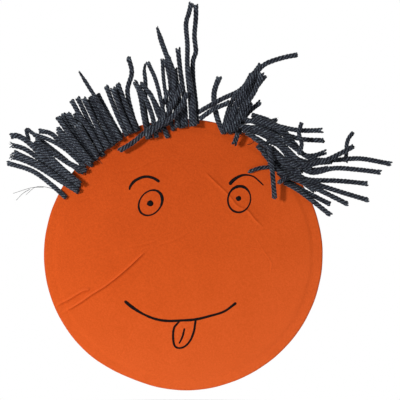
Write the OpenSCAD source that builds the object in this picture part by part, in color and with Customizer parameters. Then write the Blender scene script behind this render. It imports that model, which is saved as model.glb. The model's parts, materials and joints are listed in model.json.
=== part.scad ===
// Paper bag hand puppet: a round cut-paper face with a pen drawing and yarn hair,
// glued to the folded bottom of a small paper bag that opens like a mouth.
// The frame stands upright: +Z up, the face looks along -Y, and the origin is the
// centre of the bag's open lower end, where the hand goes in.

/* [Face] */
// Width of the round paper face
face_w = 200; // [190:1:240]
// Height of the round paper face
face_h = 195; // [185:1:234]
// Thickness of the face paper
face_t = 0.3; // [0.2:0.05:0.6]
// How far the lower left of the hand-cut edge falls inside the round
cut_flat = 1.6; // [0:0.1:3]
// How far the backing card stops inside the face's edge
card_inset = 8; // [5:0.5:14]
// Thickness of the backing card
card_t = 1.5; // [0.8:0.1:2.5]

/* [Drawing] */
// Width of the thin pen lines
pen_w = 1.4; // [0.8:0.1:2]
// Width of the eyebrow and smile lines
bold_w = 1.8; // [1:0.1:2.4]
// Height of the dried ink above the paper, drawn thicker than the real film
ink_t = 0.12; // [0.08:0.01:0.2]
// Radius of the left pupil
left_pupil_r = 2.3; // [1:0.1:3]
// Radius of the right pupil
right_pupil_r = 1.9; // [1:0.1:3]

/* [Yarn hair] */
// Yarn thickness as a share of each strand's own
yarn_scale = 1; // [0.6:0.05:1]
// Width of the glue line under the hair
hair_glue_w = 9; // [6:0.5:14]
// Thickness of that glue line
hair_glue_t = 0.35; // [0.2:0.05:0.4]

/* [Bag] */
// Width of the bag
bag_w = 89; // [74:1:107]
// Height of the folded bag, from its open end to its top fold
bag_h = 165; // [137:1:198]
// Depth of the bag's bottom, which is folded over to the front
base_d = 60; // [50:1:72]
// How far the open lower end stands apart, front to back
mouth_d = 38; // [30:1:46]
// Thickness of the bag's paper, drawn thicker than the real sheet
paper_t = 0.4; // [0.3:0.05:0.5]
// Width of the glued lap along the back
lap_w = 14; // [8:1:20]
// Radius of the thumb notch in the open edge
notch_r = 9; // [6:0.5:12]

/* [Fits] */
// Clearance between sheets that slide past each other
slip = 0.35; // [0.3:0.05:0.6]
// Gap left open along a fold between two panels
fold_gap = 0.1; // [0.05:0.01:0.2]
// Thickness of the glue film between the bag and the card
glue_t = 0.15; // [0.1:0.05:0.3]

/* [Hidden] */
// The drawing and the yarn are laid out on a face of this size
drawn_w = 200;
drawn_h = 195;
kx = face_w / drawn_w;
kz = face_h / drawn_h;
face_z = bag_h / 2;
// Levels of the mouth's pleat: half of the bag's bottom, folded up inside
lip_z = bag_h - base_d;
crease_z = bag_h - base_d / 2;
pleat_l = base_d / 2;
// The rear leaf of a gusset stops here: above it the paper folds with the mouth
web_z = crease_z + pleat_l / 2;
// Share of the paper's thickness in each leaf of a gusset, so that two lie inside a fold
leaf_share = 0.75;
// How far folded-in paper stops inside the fold around it
fold_in = 0.2;
// Height of the tab that the cover flap ends in, and how far above the lip the card's glue starts
tab_h = 12;
glue_rise = 6;
// How far the back seam stays from the thumb notch and from the top fold
lap_from_notch = 1;
lap_from_top = 4;
// Length of the round cutter that makes the thumb notch
notch_cut = 6;
// How far the glue line under the hair stays inside the cut edge
glue_from_edge = 1;
// Depth positions, from the bag forward to the drawing
front_y = -mouth_d / 2;
palate_y = front_y - slip;
flap_y = palate_y - paper_t - slip;
tuck_y = flap_y - paper_t;
cover_y = tuck_y - paper_t;
glue_y = cover_y - paper_t;
card_y = glue_y - glue_t;
face_y = card_y - card_t;
ink_y = face_y - face_t;
// Direction, in degrees, of the flattened stretch of the hand-cut edge and half its spread
flat_at = 247;
flat_spread = 16;
// Directions between which the two glue lines under the hair run
left_glue = [82, 156];
right_glue = [37, 74];
yarn_sides = 8;
rings_per_span = 2;
pen_steps = 3;
ring_steps = 48;
glue_steps = 16;
edge_points = 120;

kraft = "#B98A5B";
kraft_inside = "#C79B6C";
orange = "#D0541D";
card_grey = "#B9B2A6";
ink_black = "#17100F";
yarn_grey = "#383B45";
glue_white = "#E9E4D6";

// Each row is a node name and its strands; a strand is its thickness and its route from
// root to tip as [across, in front of the face, up], in millimetres from the face's centre.
HAIR = [
    ["yarn_left_1", [
        [3, [[-84, 1.9, 41], [-94, 2, 50], [-108, 0.5, 60], [-127, -3, 66]]],
    ]],
    ["yarn_left_2", [
        [3, [[-75, 1.9, 45], [-88, 1.9, 53], [-104, 2, 63], [-118, 1, 69], [-125, 0, 70]]],
    ]],
    ["yarn_left_3", [
        [3, [[-74, 1.9, 49], [-85, 2, 56], [-102, 1, 68], [-114, 0, 76], [-125, -2, 79]]],
    ]],
    ["yarn_left_4", [
        [3.4, [[-77, 5.3, 53], [-85, 4.9, 59], [-99, 4, 69], [-110, 3, 80], [-118, 2, 85], [-124, 1, 85]]],
    ]],
    ["yarn_left_5", [
        [2.4, [[-74, 1.7, 59], [-85, 1.9, 69], [-99, -1, 80], [-108, -3, 87], [-113, -4, 90],
            [-111, -6, 81]]],
    ]],
    ["tuft_left", [
        [3, [[-69, 5, 60], [-80, 5.4, 65], [-95, 5.8, 74], [-106, 6, 82]]],
        [3, [[-65, 1.9, 64], [-75, 1.9, 70], [-88, 1, 81], [-95, 0, 87], [-104, -2, 89]]],
        [3, [[-65, 5, 66], [-71, 5, 73], [-80, 5, 81], [-90, 6, 91]]],
        [3, [[-75, 5.2, 46], [-87, 5.1, 54], [-103, 4.6, 65], [-122, 3, 74]]],
        [3, [[-73, 8.4, 51], [-85, 8.3, 61], [-98, 8.2, 73], [-110, 7, 80]]],
    ]],
    ["tuft_upper_left", [
        [3, [[-65, 8.2, 66], [-74, 8, 77], [-83, 7, 89], [-90, 5, 99]]],
        [3, [[-62, 1.9, 68], [-71, 1.9, 80], [-80, 0, 92], [-87, -2, 102]]],
        [3, [[-60, 5, 70], [-70, 5, 84], [-77, 4, 94], [-83, 2, 102]]],
        [3, [[-57, 1.9, 71], [-65, 1.9, 83], [-73, 1, 93], [-78, 0, 102]]],
        [3, [[-61, 8.3, 71], [-69, 8.2, 84], [-75, 7.6, 95]]],
    ]],
    ["tuft_crown_left", [
        [3, [[-44, 1.9, 84], [-51, 1.9, 96], [-57, 0, 107], [-62, -2, 116]]],
        [3, [[-47, 1.9, 81], [-55, 1.9, 93], [-60, 1, 105], [-65, 0, 115]]],
        [3, [[-58, 8.2, 74], [-65, 8, 87], [-73, 7, 99], [-80, 5, 111]]],
        [3, [[-55, 5, 75], [-64, 5, 89], [-71, 3, 103], [-76, 1, 113]]],
        [3, [[-52, 1.9, 77], [-60, 1.9, 90], [-68, 0, 105], [-72, -2, 113]]],
        [3, [[-50, 5, 78], [-57, 4.5, 92], [-64, 2.5, 104], [-68, 1, 112]]],
        [3, [[-53, 8.2, 77], [-60, 8.1, 89], [-66, 7, 102], [-71, 6, 112]]],
    ]],
    ["yarn_crown_1", [
        [2.4, [[-44, 5, 82], [-52, 4.8, 95], [-61, 4.6, 110], [-68, 4, 121], [-75, 1, 132]]],
    ]],
    ["yarn_crown_2", [
        [3, [[-32, 1.9, 89], [-36, 1.9, 99], [-40, 0, 117], [-37, -2, 131], [-40, -4, 143]]],
    ]],
    ["yarn_crown_3", [
        [2.6, [[-23, 1.9, 84], [-27, 1.9, 102], [-27, -1, 122], [-28, -3, 132], [-27, -4, 139]]],
    ]],
    ["yarn_crown_4", [
        [2.6, [[-12, 5, 92], [-16, 5, 111], [-20, 2, 126], [-26, -1, 139]]],
    ]],
    ["yarn_crown_5", [
        [3.2, [[-4, 5, 91], [-6, 5, 111], [-7, 4, 130], [-12, 2, 143], [-16, 1, 154], [-19, 0, 164]]],
    ]],
    ["yarn_crown_6", [
        [2.4, [[-7, 1.9, 89], [-11, 1.9, 106], [-14, 0, 125], [-15, -1.5, 141]]],
    ]],
    ["yarn_crown_7", [
        [3, [[2, 1.9, 92], [1, 1.9, 109], [-2, 0, 131], [-4, -2, 149]]],
    ]],
    ["yarn_crown_8", [
        [3, [[6, 5, 92], [5, 5, 111], [3, 3, 132], [3, 2, 150], [2, 1.5, 165], [4, 1.5, 173],
            [6, 1.5, 181]]],
    ]],
    ["yarn_crown_9", [
        [3, [[10, 1.9, 94], [9, 1.9, 108], [7, -0.5, 127], [7, -1.5, 139], [9, -1.5, 146],
            [8, -1.5, 157], [9, -1.5, 170], [9, -0.8, 180]]],
    ]],
    ["tuft_crown", [
        [3, [[-40, 5, 85], [-47, 5.5, 100], [-55, 7, 121]]],
        [3, [[-37, 1.9, 87], [-42, 1.9, 97], [-51, -1, 120]]],
        [3, [[-33, 5, 88], [-40, 5, 105], [-47, 4, 123]]],
        [3, [[-37, 8.2, 87], [-44, 8.2, 102], [-50, 8.2, 119]]],
        [3, [[-25, 5, 83], [-28, 5, 98], [-31, 3, 115], [-35, 2, 125]]],
        [3, [[-11, 1.9, 84], [-18, 3, 101], [-23, 4, 114], [-31, 5, 123]]],
        [3, [[-19, 4.9, 84], [-22, 5, 99], [-27, 6, 112], [-34, 7.8, 122]]],
        [3, [[-2, 1.9, 91], [-4, 1.9, 109], [-7, 0.6, 128], [-11, -1.6, 142]]],
        [3, [[8, 8.2, 92], [7, 8.1, 108], [5, 7, 122], [3, 6.2, 135]]],
    ]],
    ["yarn_loose", [
        [3, [[-1, 11.4, 121], [-6, 9.4, 109], [-14, 8.4, 97], [-25, 8.3, 89], [-36, 8.2, 80],
            [-46, 7.5, 74]]],
    ]],
    ["yarn_peak_1", [
        [3.4, [[29, 2.1, 87], [24, 2.1, 99], [22, 1, 115], [26, 0, 128]]],
    ]],
    ["yarn_peak_2", [
        [3, [[11, 5, 102], [27, 5, 111], [41, 4, 118], [49, 3, 128], [56, 2, 137]]],
    ]],
    ["yarn_peak_3", [
        [3, [[29, 5.5, 87], [35, 5.3, 102], [41, 6.2, 114], [49, 8, 125], [57, 8, 135], [69, 7, 140],
            [82, 5, 143]]],
    ]],
    ["yarn_peak_4", [
        [3, [[33, 1.9, 87], [38, 1.9, 99], [46, 0, 114], [55, -2, 130]]],
    ]],
    ["tuft_peak", [
        [3, [[3, 11.4, 115], [-2, 11.4, 105], [-9, 11.4, 97], [-18, 11.4, 91], [-27, 11, 84]]],
        [3, [[12, 8.2, 97], [22, 8.2, 104], [34, 8.4, 109]]],
        [3, [[37, 5, 87], [42, 5, 102], [49, 3, 115], [59, 1, 129]]],
        [3, [[40, 1.9, 87], [45, 1.9, 100], [56, 0, 110]]],
        [3, [[34, 8.3, 88], [43, 8.4, 104], [51, 9.6, 117], [56, 11, 130]]],
        [3, [[39, 8.3, 87], [36, 7.2, 78]]],
    ]],
    ["yarn_right_1", [
        [3, [[44, 8.2, 95], [54, 8.2, 96], [67, 8, 92], [82, 6.4, 89], [100, 4, 89]]],
    ]],
    ["yarn_right_2", [
        [3, [[46, 1.9, 91], [57, 1.9, 91], [70, 1.6, 87], [85, 0, 83], [102, -2, 82]]],
    ]],
    ["yarn_right_3", [
        [3, [[43, 5, 89], [54, 5, 87], [67, 5.2, 79], [78, 6, 68], [91, 4, 59], [108, 3, 62],
            [125, 2, 61], [142, 1, 59]]],
    ]],
    ["yarn_right_4", [
        [3, [[45, 8.2, 87], [57, 8.2, 80], [67, 8.2, 71], [81, 9.4, 64], [97, 8, 66], [111, 7, 72],
            [122, 6, 78]]],
    ]],
    ["yarn_right_5", [
        [3, [[49, 4.9, 100], [61, 4.9, 96], [71, 4.6, 89], [79, 4, 80], [86, 3, 72], [93, 2, 71],
            [103, 1, 74]]],
    ]],
    ["yarn_right_6", [
        [3, [[49, 8.2, 91], [62, 8.2, 87], [77, 8.2, 78], [91, 5.6, 69], [108, 0, 68], [127, -1, 69],
            [150, -2, 65]]],
    ]],
    ["yarn_right_7", [
        [3, [[53, 1.9, 78], [63, 1.9, 69], [75, 2, 59], [89, 1.2, 54], [112, -1, 53], [133, -3, 51]]],
    ]],
    ["yarn_right_8", [
        [3, [[57, 5, 73], [67, 5, 62], [81, 5, 55], [100, 4, 49], [116, 3, 44], [133, 2, 39]]],
    ]],
    ["yarn_right_9", [
        [3, [[61, 8.2, 66], [71, 8.2, 58], [87, 7.2, 51], [102, 5.5, 44], [118, 4, 36]]],
    ]],
    ["tuft_right", [
        [3, [[68, 1.9, 59], [77, 2, 51], [90, 1.8, 44], [106, -1, 36]]],
        [3, [[72, 5, 52], [81, 5.2, 47], [92, 4, 39], [106, 1, 28]]],
        [3, [[55, 1.9, 87], [62, 1.9, 84], [73, 1.9, 77], [82, 0.6, 68], [92, -1, 61]]],
        [3, [[50, 1.9, 84], [61, 1.9, 77], [73, 1.9, 68], [82, 1, 60]]],
        [3, [[58, 5, 77], [67, 5, 69], [77, 5.2, 62], [85, 8, 59]]],
        [2.4, [[49, 1.7, 97], [57, 1.7, 95], [68, 0, 97]]],
        [2.6, [[84, 10.5, 94], [82, 11.3, 87], [84, 11.3, 79], [82, 11, 71]]],
        [2.6, [[122, -2, 88], [118, -3.6, 81], [117, -4.4, 66]]],
        [2.4, [[62, 1.7, 63], [54, 1.7, 62], [46, 1.7, 59]]],
        [3, [[61, 11.4, 78], [63, 11.4, 61], [64, 11, 51], [65, 9, 40]]],
        [2.6, [[74, 11.2, 56], [67, 10, 51]]],
    ]],
];

function hair_names() = [for (h = HAIR) h[0]];

// A smooth curve through points, n steps to each span
function curve(p, n) = let (last = len(p) - 1) concat(
    [for (i = [0:last - 1], k = [0:n - 1])
        let (
            a = i > 0 ? p[i - 1] : 2 * p[0] - p[1],
            b = p[i],
            c = p[i + 1],
            d = i + 2 <= last ? p[i + 2] : 2 * p[last] - p[last - 1],
            t = k / n
        )
        0.5 * (2 * b + (c - a) * t + (2 * a - 5 * b + 4 * c - d) * t * t
            + (3 * b - 3 * c + d - a) * t * t * t)],
    [p[last]]);

function unit(v) = v / norm(v);
function along(p, i) = unit(p[min(i + 1, len(p) - 1)] - p[max(i - 1, 0)]);

// A round strand swept along a route that never runs straight front to back
module strand(path, d) {
    rings = [for (i = [0:len(path) - 1])
        let (
            t = along(path, i),
            side = unit(cross(t, [0, 1, 0])),
            front = cross(side, t)
        )
        for (k = [0:yarn_sides - 1])
            let (a = 360 * k / yarn_sides)
            path[i] + d / 2 * (side * cos(a) + front * sin(a))];
    walls = [for (i = [0:len(path) - 2], k = [0:yarn_sides - 1])
        let (a = i * yarn_sides + k, b = i * yarn_sides + (k + 1) % yarn_sides)
        [a, a + yarn_sides, b + yarn_sides, b]];
    root = [for (k = [0:yarn_sides - 1]) k];
    tip = [for (k = [yarn_sides - 1:-1:0]) (len(path) - 1) * yarn_sides + k];
    polyhedron(rings, concat(walls, [root, tip]), convexity = 6);
}

// A tuft or single strand by its row in HAIR; a strand moves with the face's edge at its root
module hair(row) {
    color(yarn_grey)
        for (s = row[1]) {
            root = s[1][0];
            shift = [root.x * (kx - 1), 0, root.z * (kz - 1)];
            route = [for (q = s[1]) [q.x, ink_y - q.y, q.z + face_z] + shift];
            strand(curve(route, rings_per_span), s[0] * yarn_scale);
        }
}

// A flat shape in the face's plane: from depth y, t thick, towards the viewer
module plate(y, t) {
    translate([0, y, 0]) rotate([90, 0, 0]) linear_extrude(t) children();
}

// The hand-cut outline's reach in direction a, moved inward by inset
function reach(a, inset) =
    let (flat = cut_flat * exp(-pow((a - flat_at) / flat_spread, 2)))
    1 / norm([cos(a) / (face_w / 2), sin(a) / (face_h / 2)]) - flat - inset;
function edge_point(a, inset) = reach(a, inset) * [cos(a), sin(a)] + [0, face_z];

module disc(inset) {
    polygon([for (k = [0:edge_points - 1]) edge_point(360 * k / edge_points, inset)]);
}

// A pen stroke of width w through points given from the face's centre
module stroke(points, w) {
    p = curve([for (q = points) [q.x * kx, q.y * kz]], pen_steps);
    turned = [for (i = [0:len(p) - 1]) let (t = along(p, i)) [-t.y, t.x] * w / 2];
    left = [for (i = [0:len(p) - 1]) p[i] + turned[i]];
    right = [for (i = [len(p) - 1:-1:0]) p[i] - turned[i]];
    color(ink_black) plate(ink_y, ink_t)
        translate([0, face_z]) polygon(concat(left, right));
}

// A drawn ring: long and short half-widths, leaning to the right by lean degrees
function ring_points(long, short, lean) = [for (k = [0:ring_steps - 1])
    let (a = 360 * k / ring_steps, u = long * cos(a), v = short * sin(a))
    [u * sin(lean) + v * cos(lean), u * cos(lean) - v * sin(lean)]];

module eye_ring(centre, long, short, lean) {
    color(ink_black) plate(ink_y, ink_t)
        translate([centre.x * kx, centre.y * kz + face_z])
            difference() {
                polygon(ring_points(long, short, lean));
                polygon(ring_points(long - pen_w, short - pen_w, lean));
            }
}

module pupil(centre, r) {
    color(ink_black) plate(ink_y, ink_t)
        translate([centre.x * kx, centre.y * kz + face_z]) circle(r, $fn = 32);
}

// A band of glue along the face's edge, from just inside the cut
module hair_glue(span) {
    angles = [for (i = [0:glue_steps]) span[0] + (span[1] - span[0]) * i / glue_steps];
    outer = [for (a = angles) edge_point(a, glue_from_edge)];
    inner = [for (i = [glue_steps:-1:0]) edge_point(angles[i], glue_from_edge + hair_glue_w)];
    color(glue_white) plate(ink_y, hair_glue_t) polygon(concat(outer, inner));
}

// The bag's depth and the gusset's inner crease at height z
function depth(z) = mouth_d * (1 - z / bag_h);
function crease_x(z) = bag_w / 2 - sqrt(pow(base_d / 2, 2) - pow(depth(z) / 2, 2));

// A sheet between four corners, thickened by v
module sheet(a, b, c, d, v) {
    polyhedron([a, b, c, d, a + v, b + v, c + v, d + v],
        [[0, 1, 2], [0, 2, 3], [6, 5, 4], [7, 6, 4],
         [1, 0, 4, 5], [2, 1, 5, 6], [3, 2, 6, 7], [0, 3, 7, 4]]);
}

// Half of a side gusset: side is 1 on the right, rear is 1 against the back panel
module gusset_half(side, rear) {
    top = rear == 1 ? web_z : lip_z - slip;
    thick = paper_t * leaf_share;
    y_edge = function (z) rear == 1 ? front_y + depth(z) - fold_gap : front_y + paper_t + fold_gap;
    y_crease = function (z) front_y + depth(z) / 2 + (rear == 1 ? 1 : -1) * (thick + fold_gap / 2);
    low_out = [side * bag_w / 2, y_edge(0), 0];
    high_out = [side * bag_w / 2, y_edge(top), top];
    high_in = [side * crease_x(top), y_crease(top), top];
    low_in = [side * crease_x(0), y_crease(0), 0];
    toward = (rear == 1 ? -1 : 1) * thick * [0, 1, 0];
    color(kraft)
        if (side * rear > 0) sheet(low_out, high_out, high_in, low_in, toward);
        else sheet(low_in, high_in, high_out, low_out, toward);
}

module bag_back_panel() {
    top = bag_h - slip / 2;
    top_y = front_y + depth(top);
    color(kraft) difference() {
        translate([-bag_w / 2, 0, 0]) rotate([90, 0, 90]) linear_extrude(bag_w)
            polygon([[front_y + mouth_d, 0], [front_y + mouth_d + paper_t, 0],
                [top_y + paper_t, top], [top_y, top]]);
        translate([0, front_y + mouth_d + notch_cut / 2, 0]) rotate([90, 0, 0])
            cylinder(notch_cut, notch_r, notch_r, $fn = 64);
    }
}

module bag_front_panel() {
    color(kraft) translate([-bag_w / 2, front_y, 0]) cube([bag_w, paper_t, lip_z - slip]);
}

module back_seam_lap() {
    low = notch_r + lap_from_notch;
    high = bag_h - lap_from_top;
    low_y = front_y + paper_t + depth(low);
    high_y = front_y + paper_t + depth(high);
    color(kraft) translate([-lap_w / 2, 0, 0]) rotate([90, 0, 90]) linear_extrude(lap_w)
        polygon([[low_y, low], [low_y + paper_t, low], [high_y + paper_t, high], [high_y, high]]);
}

module bag_gusset_left() { for (rear = [-1, 1]) gusset_half(-1, rear); }
module bag_gusset_right() { for (rear = [-1, 1]) gusset_half(1, rear); }

// The mouth's roof: hinged at the lip, its free edge at the inner crease
module mouth_palate() {
    color(kraft_inside) translate([-bag_w / 2, palate_y - paper_t, lip_z + slip])
        cube([bag_w, paper_t, pleat_l - slip]);
}

// The mouth's floor: the top of the front panel, hinged at the lip's level
module mouth_throat() {
    color(kraft_inside) translate([-bag_w / 2, front_y, lip_z + slip])
        cube([bag_w, paper_t, pleat_l - slip]);
}

module bag_base() {
    color(kraft) plate(flap_y, paper_t)
        translate([-bag_w / 2, lip_z]) square([bag_w, base_d - slip]);
}

// A triangle of the folded bottom: side is 1 on the right
module base_tuck(side) {
    edge = side * (bag_w / 2 - fold_in);
    low = lip_z + 2 * fold_in;
    high = bag_h - 3 * fold_in;
    color(kraft) plate(tuck_y, paper_t)
        polygon([[edge, low], [edge, high], [edge - side * base_d / 2, crease_z]]);
}
module base_tuck_left() { base_tuck(-1); }
module base_tuck_right() { base_tuck(1); }

// The bottom's outer flap, glued down over the tucks
module base_cover_flap() {
    near = bag_w / 2 - 2 * fold_in;
    far = bag_w / 2 - base_d / 2;
    top = crease_z + tab_h;
    color(kraft) plate(cover_y, paper_t)
        polygon([[-near, lip_z], [near, lip_z], [far, crease_z], [far, top], [-far, top], [-far, crease_z]]);
}

module card_glue() {
    w = bag_w - base_d;
    color(glue_white) plate(glue_y, glue_t)
        translate([-w / 2, lip_z + glue_rise]) square([w, base_d / 2]);
}

module backing_card() { color(card_grey) plate(card_y, card_t) disc(card_inset); }
module face_paper() { color(orange) plate(face_y, face_t) disc(0); }

module eyebrow_left() {
    stroke([[-38, 48], [-35, 52.5], [-30, 55], [-25.5, 56], [-21, 54.5], [-17, 52]], bold_w);
}
module eyebrow_right() {
    stroke([[33, 50.5], [36, 54], [40.5, 56.5], [45, 57], [50, 56], [53.5, 53.5], [57.5, 50]], pen_w);
}
module eye_ring_left() { eye_ring([-23.5, 37.5], 10.5, 8, 37); }
module eye_ring_right() { eye_ring([40, 40], 10, 8.5, 12); }
module pupil_left() { pupil([-23.5, 37], left_pupil_r); }
module pupil_right() { pupil([39.5, 40.5], right_pupil_r); }
module smile() {
    stroke([[-42, -33], [-37, -37], [-29.5, -42], [-20.5, -45.5], [-11.5, -47.5], [-1, -47],
        [9, -46], [20.5, -43.5], [29.5, -40.5], [38, -34.5]], bold_w);
}
module tongue_outline() {
    stroke([[-3, -49.5], [-6, -53], [-7.5, -58.5], [-6.5, -65], [-3, -67], [1.5, -65.5],
        [5, -61], [7.5, -55], [8.5, -48.5]], pen_w);
}
module tongue_line() { stroke([[1, -52.5], [-0.5, -58.5], [-3, -64]], pen_w); }
module hair_glue_left() { hair_glue(left_glue); }
module hair_glue_right() { hair_glue(right_glue); }

bag_back_panel();
bag_front_panel();
back_seam_lap();
bag_gusset_left();
bag_gusset_right();
mouth_palate();
mouth_throat();
bag_base();
base_tuck_left();
base_tuck_right();
base_cover_flap();
card_glue();
backing_card();
face_paper();
eyebrow_left();
eyebrow_right();
eye_ring_left();
eye_ring_right();
pupil_left();
pupil_right();
smile();
tongue_outline();
tongue_line();
hair_glue_left();
hair_glue_right();
for (row = HAIR)
    hair(row);
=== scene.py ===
import json
import math
import random

import bmesh
import bpy
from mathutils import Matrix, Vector, kdtree, noise


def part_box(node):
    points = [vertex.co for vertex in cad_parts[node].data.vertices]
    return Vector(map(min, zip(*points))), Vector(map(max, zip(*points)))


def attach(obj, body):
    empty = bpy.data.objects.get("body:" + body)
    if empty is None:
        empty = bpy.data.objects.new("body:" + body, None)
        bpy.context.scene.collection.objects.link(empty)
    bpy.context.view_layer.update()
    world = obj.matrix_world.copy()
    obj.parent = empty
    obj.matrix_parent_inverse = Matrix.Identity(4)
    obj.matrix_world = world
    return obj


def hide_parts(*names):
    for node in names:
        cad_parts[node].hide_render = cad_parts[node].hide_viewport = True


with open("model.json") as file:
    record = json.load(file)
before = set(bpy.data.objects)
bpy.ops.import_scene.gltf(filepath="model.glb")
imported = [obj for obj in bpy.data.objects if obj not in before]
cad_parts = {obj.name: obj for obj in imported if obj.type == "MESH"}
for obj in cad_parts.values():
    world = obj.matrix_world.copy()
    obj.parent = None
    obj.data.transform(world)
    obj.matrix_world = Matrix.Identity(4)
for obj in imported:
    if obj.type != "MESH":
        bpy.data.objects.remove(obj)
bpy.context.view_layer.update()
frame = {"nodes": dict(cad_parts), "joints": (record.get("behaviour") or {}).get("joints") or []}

# ---------------------------------------------------------------- camera
# A camera straight in front of the face, far enough back that the hair keeps its size.
MM = 0.001
fold = next(joint for joint in frame["joints"] if joint["name"] == "mouth_fold")
face_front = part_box("face_paper")[0].y
face_middle = Vector((0, face_front, fold["pos_m"][2] / 2))

camera_distance = 0.9
view_middle = face_middle + Vector((0.012, 0, 0.0393))
view_width = 0.2868
camera_data = bpy.data.cameras.new("front_camera")
camera_data.sensor_width = 36
camera_data.lens = camera_data.sensor_width * camera_distance / view_width
camera = bpy.data.objects.new("front_camera", camera_data)
camera.location = view_middle - Vector((0, camera_distance, 0))
camera.rotation_euler = (math.radians(90), 0, 0)
bpy.context.scene.collection.objects.link(camera)
bpy.context.scene.camera = camera


# ---------------------------------------------------------------- yarn hair
# Chunky dark grey wool, four plies twisted together, cut in short lengths with scissors
# and glued by one end along the top of the face. Loose fibres stand off every strand.
def add_node(material, kind, inputs=None, **settings):
    """Adds one node, sets its properties, and fills its inputs with values or other nodes' outputs."""
    node = material.node_tree.nodes.new(kind)
    for name, value in settings.items():
        setattr(node, name, value)
    for name, value in (inputs or {}).items():
        if isinstance(value, bpy.types.NodeSocket):
            material.node_tree.links.new(value, node.inputs[name])
        else:
            node.inputs[name].default_value = value
    return node


def colour(code):
    """The linear colour of an sRGB hex value such as #D0541D."""
    parts = [int(code[i:i + 2], 16) / 255 for i in (1, 3, 5)]
    return [p / 12.92 if p <= 0.04045 else ((p + 0.055) / 1.055) ** 2.4 for p in parts] + [1]


def new_material(name, **finish):
    """A material with a bare Principled shader, its constant sockets set."""
    material = bpy.data.materials.new(name)
    material.use_nodes = True
    shader = material.node_tree.nodes["Principled BSDF"]
    for socket, value in finish.items():
        shader.inputs[socket.replace("_", " ")].default_value = value
    return material, shader


def ramp(material, factor, *stops):
    """A colour ramp through (place, hex) stops."""
    node = add_node(material, "ShaderNodeValToRGB", {"Fac": factor})
    while len(node.color_ramp.elements) < len(stops):
        node.color_ramp.elements.new(0.5)
    for element, (place, code) in zip(node.color_ramp.elements, stops):
        element.position = place
        element.color = colour(code)
    return node.outputs["Color"]


# Worsted wool dyed charcoal: matt, with a soft edge glow from its fibres; lighter and
# darker fibres lie side by side, drawn 0.9 mm apart because real ones are too fine to show
wool, wool_shader = new_material("charcoal_wool", Roughness=0.9, Sheen_Weight=0.12,
                                 Sheen_Roughness=0.5, Specular_IOR_Level=0.1)
wool_place = add_node(wool, "ShaderNodeTexCoord").outputs["Object"]
wool_fibres = add_node(wool, "ShaderNodeTexNoise",
                       {"Vector": wool_place, "Scale": 1100, "Detail": 4, "Roughness": 0.65})
# painted shade: the wool is coloured darker in the grooves between its plies and lighter on their crests,
# read from the crest mark
wool_painted_groove_shade = add_node(wool, "ShaderNodeAttribute", attribute_name="crest").outputs["Fac"]
wool_fibres_and_painted_shade = add_node(wool, "ShaderNodeMix", {0: 0.42, 2: wool_fibres.outputs["Fac"], 3: wool_painted_groove_shade},
                     data_type="FLOAT")
wool_colour = ramp(wool, wool_fibres_and_painted_shade.outputs[0], (0.30, "#06060C"), (0.50, "#14161E"),
                   (0.67, "#31343E"), (0.83, "#7A8690"))
wool_bump = add_node(wool, "ShaderNodeBump",
                     {"Height": wool_fibres.outputs["Fac"], "Strength": 0.6, "Distance": 0.0002})
wool.node_tree.links.new(wool_colour, wool_shader.inputs["Base Color"])
wool.node_tree.links.new(wool_bump.outputs["Normal"], wool_shader.inputs["Normal"])

PLIES = 4
PLY_SIDES = 8
PLY_SPREAD = 0.36   # a ply's distance from the strand's line and its radius, in thicknesses
PLY_RADIUS = 0.265
TWIST = 10.4        # length of one full turn of the plies, in millimetres
TURN_SLACK = 0.35   # how far a ply strays from an even turn, in radians
ROUTE_STEPS = 12    # points that round off each span of a strand's route
RING_STEP = 0.9     # distance between rings along a ply
# where the scissors cut, the plies open up over this length, by this share of their spread
OPEN_LENGTH = 5
CUT_OPEN, FRAYED_OPEN = 0.35, 1.1
UNEVEN_CUT = 1.1    # the plies of a strand are cut off this unevenly
ROUND_END, ROUND_LENGTH = 0.55, 0.8
# what is left of the thickness at a tip, and the length that would take up all of it
POINTED_TIP, POINTED_TAPER = 0.42, 15
FRAYED_TIP, FRAYED_TAPER = 0.4, 8
FUZZ_GAP = 2.6      # one loose fibre for this much strand
FUZZ_SIDES = 4
FUZZ_STEPS = 4
FUZZ_RADIUS = 0.07
FUZZ_LEAN = 0.42    # how steeply a loose fibre leaves the strand
SHORT_FUZZ, LONG_FUZZ = 1.8, 3.2    # the longest within END_ZONE of a tip, and elsewhere
END_ZONE = 4
GROOVE = 0.40       # how far from its axis a strand's grooves and crests lie, in thicknesses; painted shade makes the grooves darkest and the crests lightest
CREST = 0.62
FUZZ_PAINTED_SHADE = 0.35    # the painted groove shade that loose fibres get instead
WELD = 1e-4         # points of one wall closer than this are one point


def smooth(points, steps):
    """A curve through the points, with that many steps to each span."""
    ends = [2 * points[0] - points[1], *points, 2 * points[-1] - points[-2]]
    curve = []
    for a, b, c, d in zip(ends, ends[1:], ends[2:], ends[3:]):
        for step in range(steps):
            t = step / steps
            curve.append(0.5 * (2 * b + (c - a) * t + (2 * a - 5 * b + 4 * c - d) * t ** 2
                                + (3 * b - 3 * c + d - a) * t ** 3))
    return curve + [points[-1]]


def even(points, gap):
    """The same line with points about gap apart."""
    lengths = [0]
    for p, q in zip(points, points[1:]):
        lengths.append(lengths[-1] + (q - p).length)
    count = max(2, round(lengths[-1] / gap))
    line, k = [], 0
    for i in range(count + 1):
        want = lengths[-1] * i / count
        while k < len(points) - 2 and lengths[k + 1] < want:
            k += 1
        share = (want - lengths[k]) / max(lengths[k + 1] - lengths[k], 1e-9)
        line.append(points[k].lerp(points[k + 1], share))
    return line


def add_spline(curve, rings):
    """An open poly spline through (place, radius) rings."""
    spline = curve.splines.new("POLY")
    spline.points.add(len(rings) - 1)
    for point, (place, radius) in zip(spline.points, rings):
        point.co = (*place, 1)
        point.radius = radius
    return spline


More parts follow.
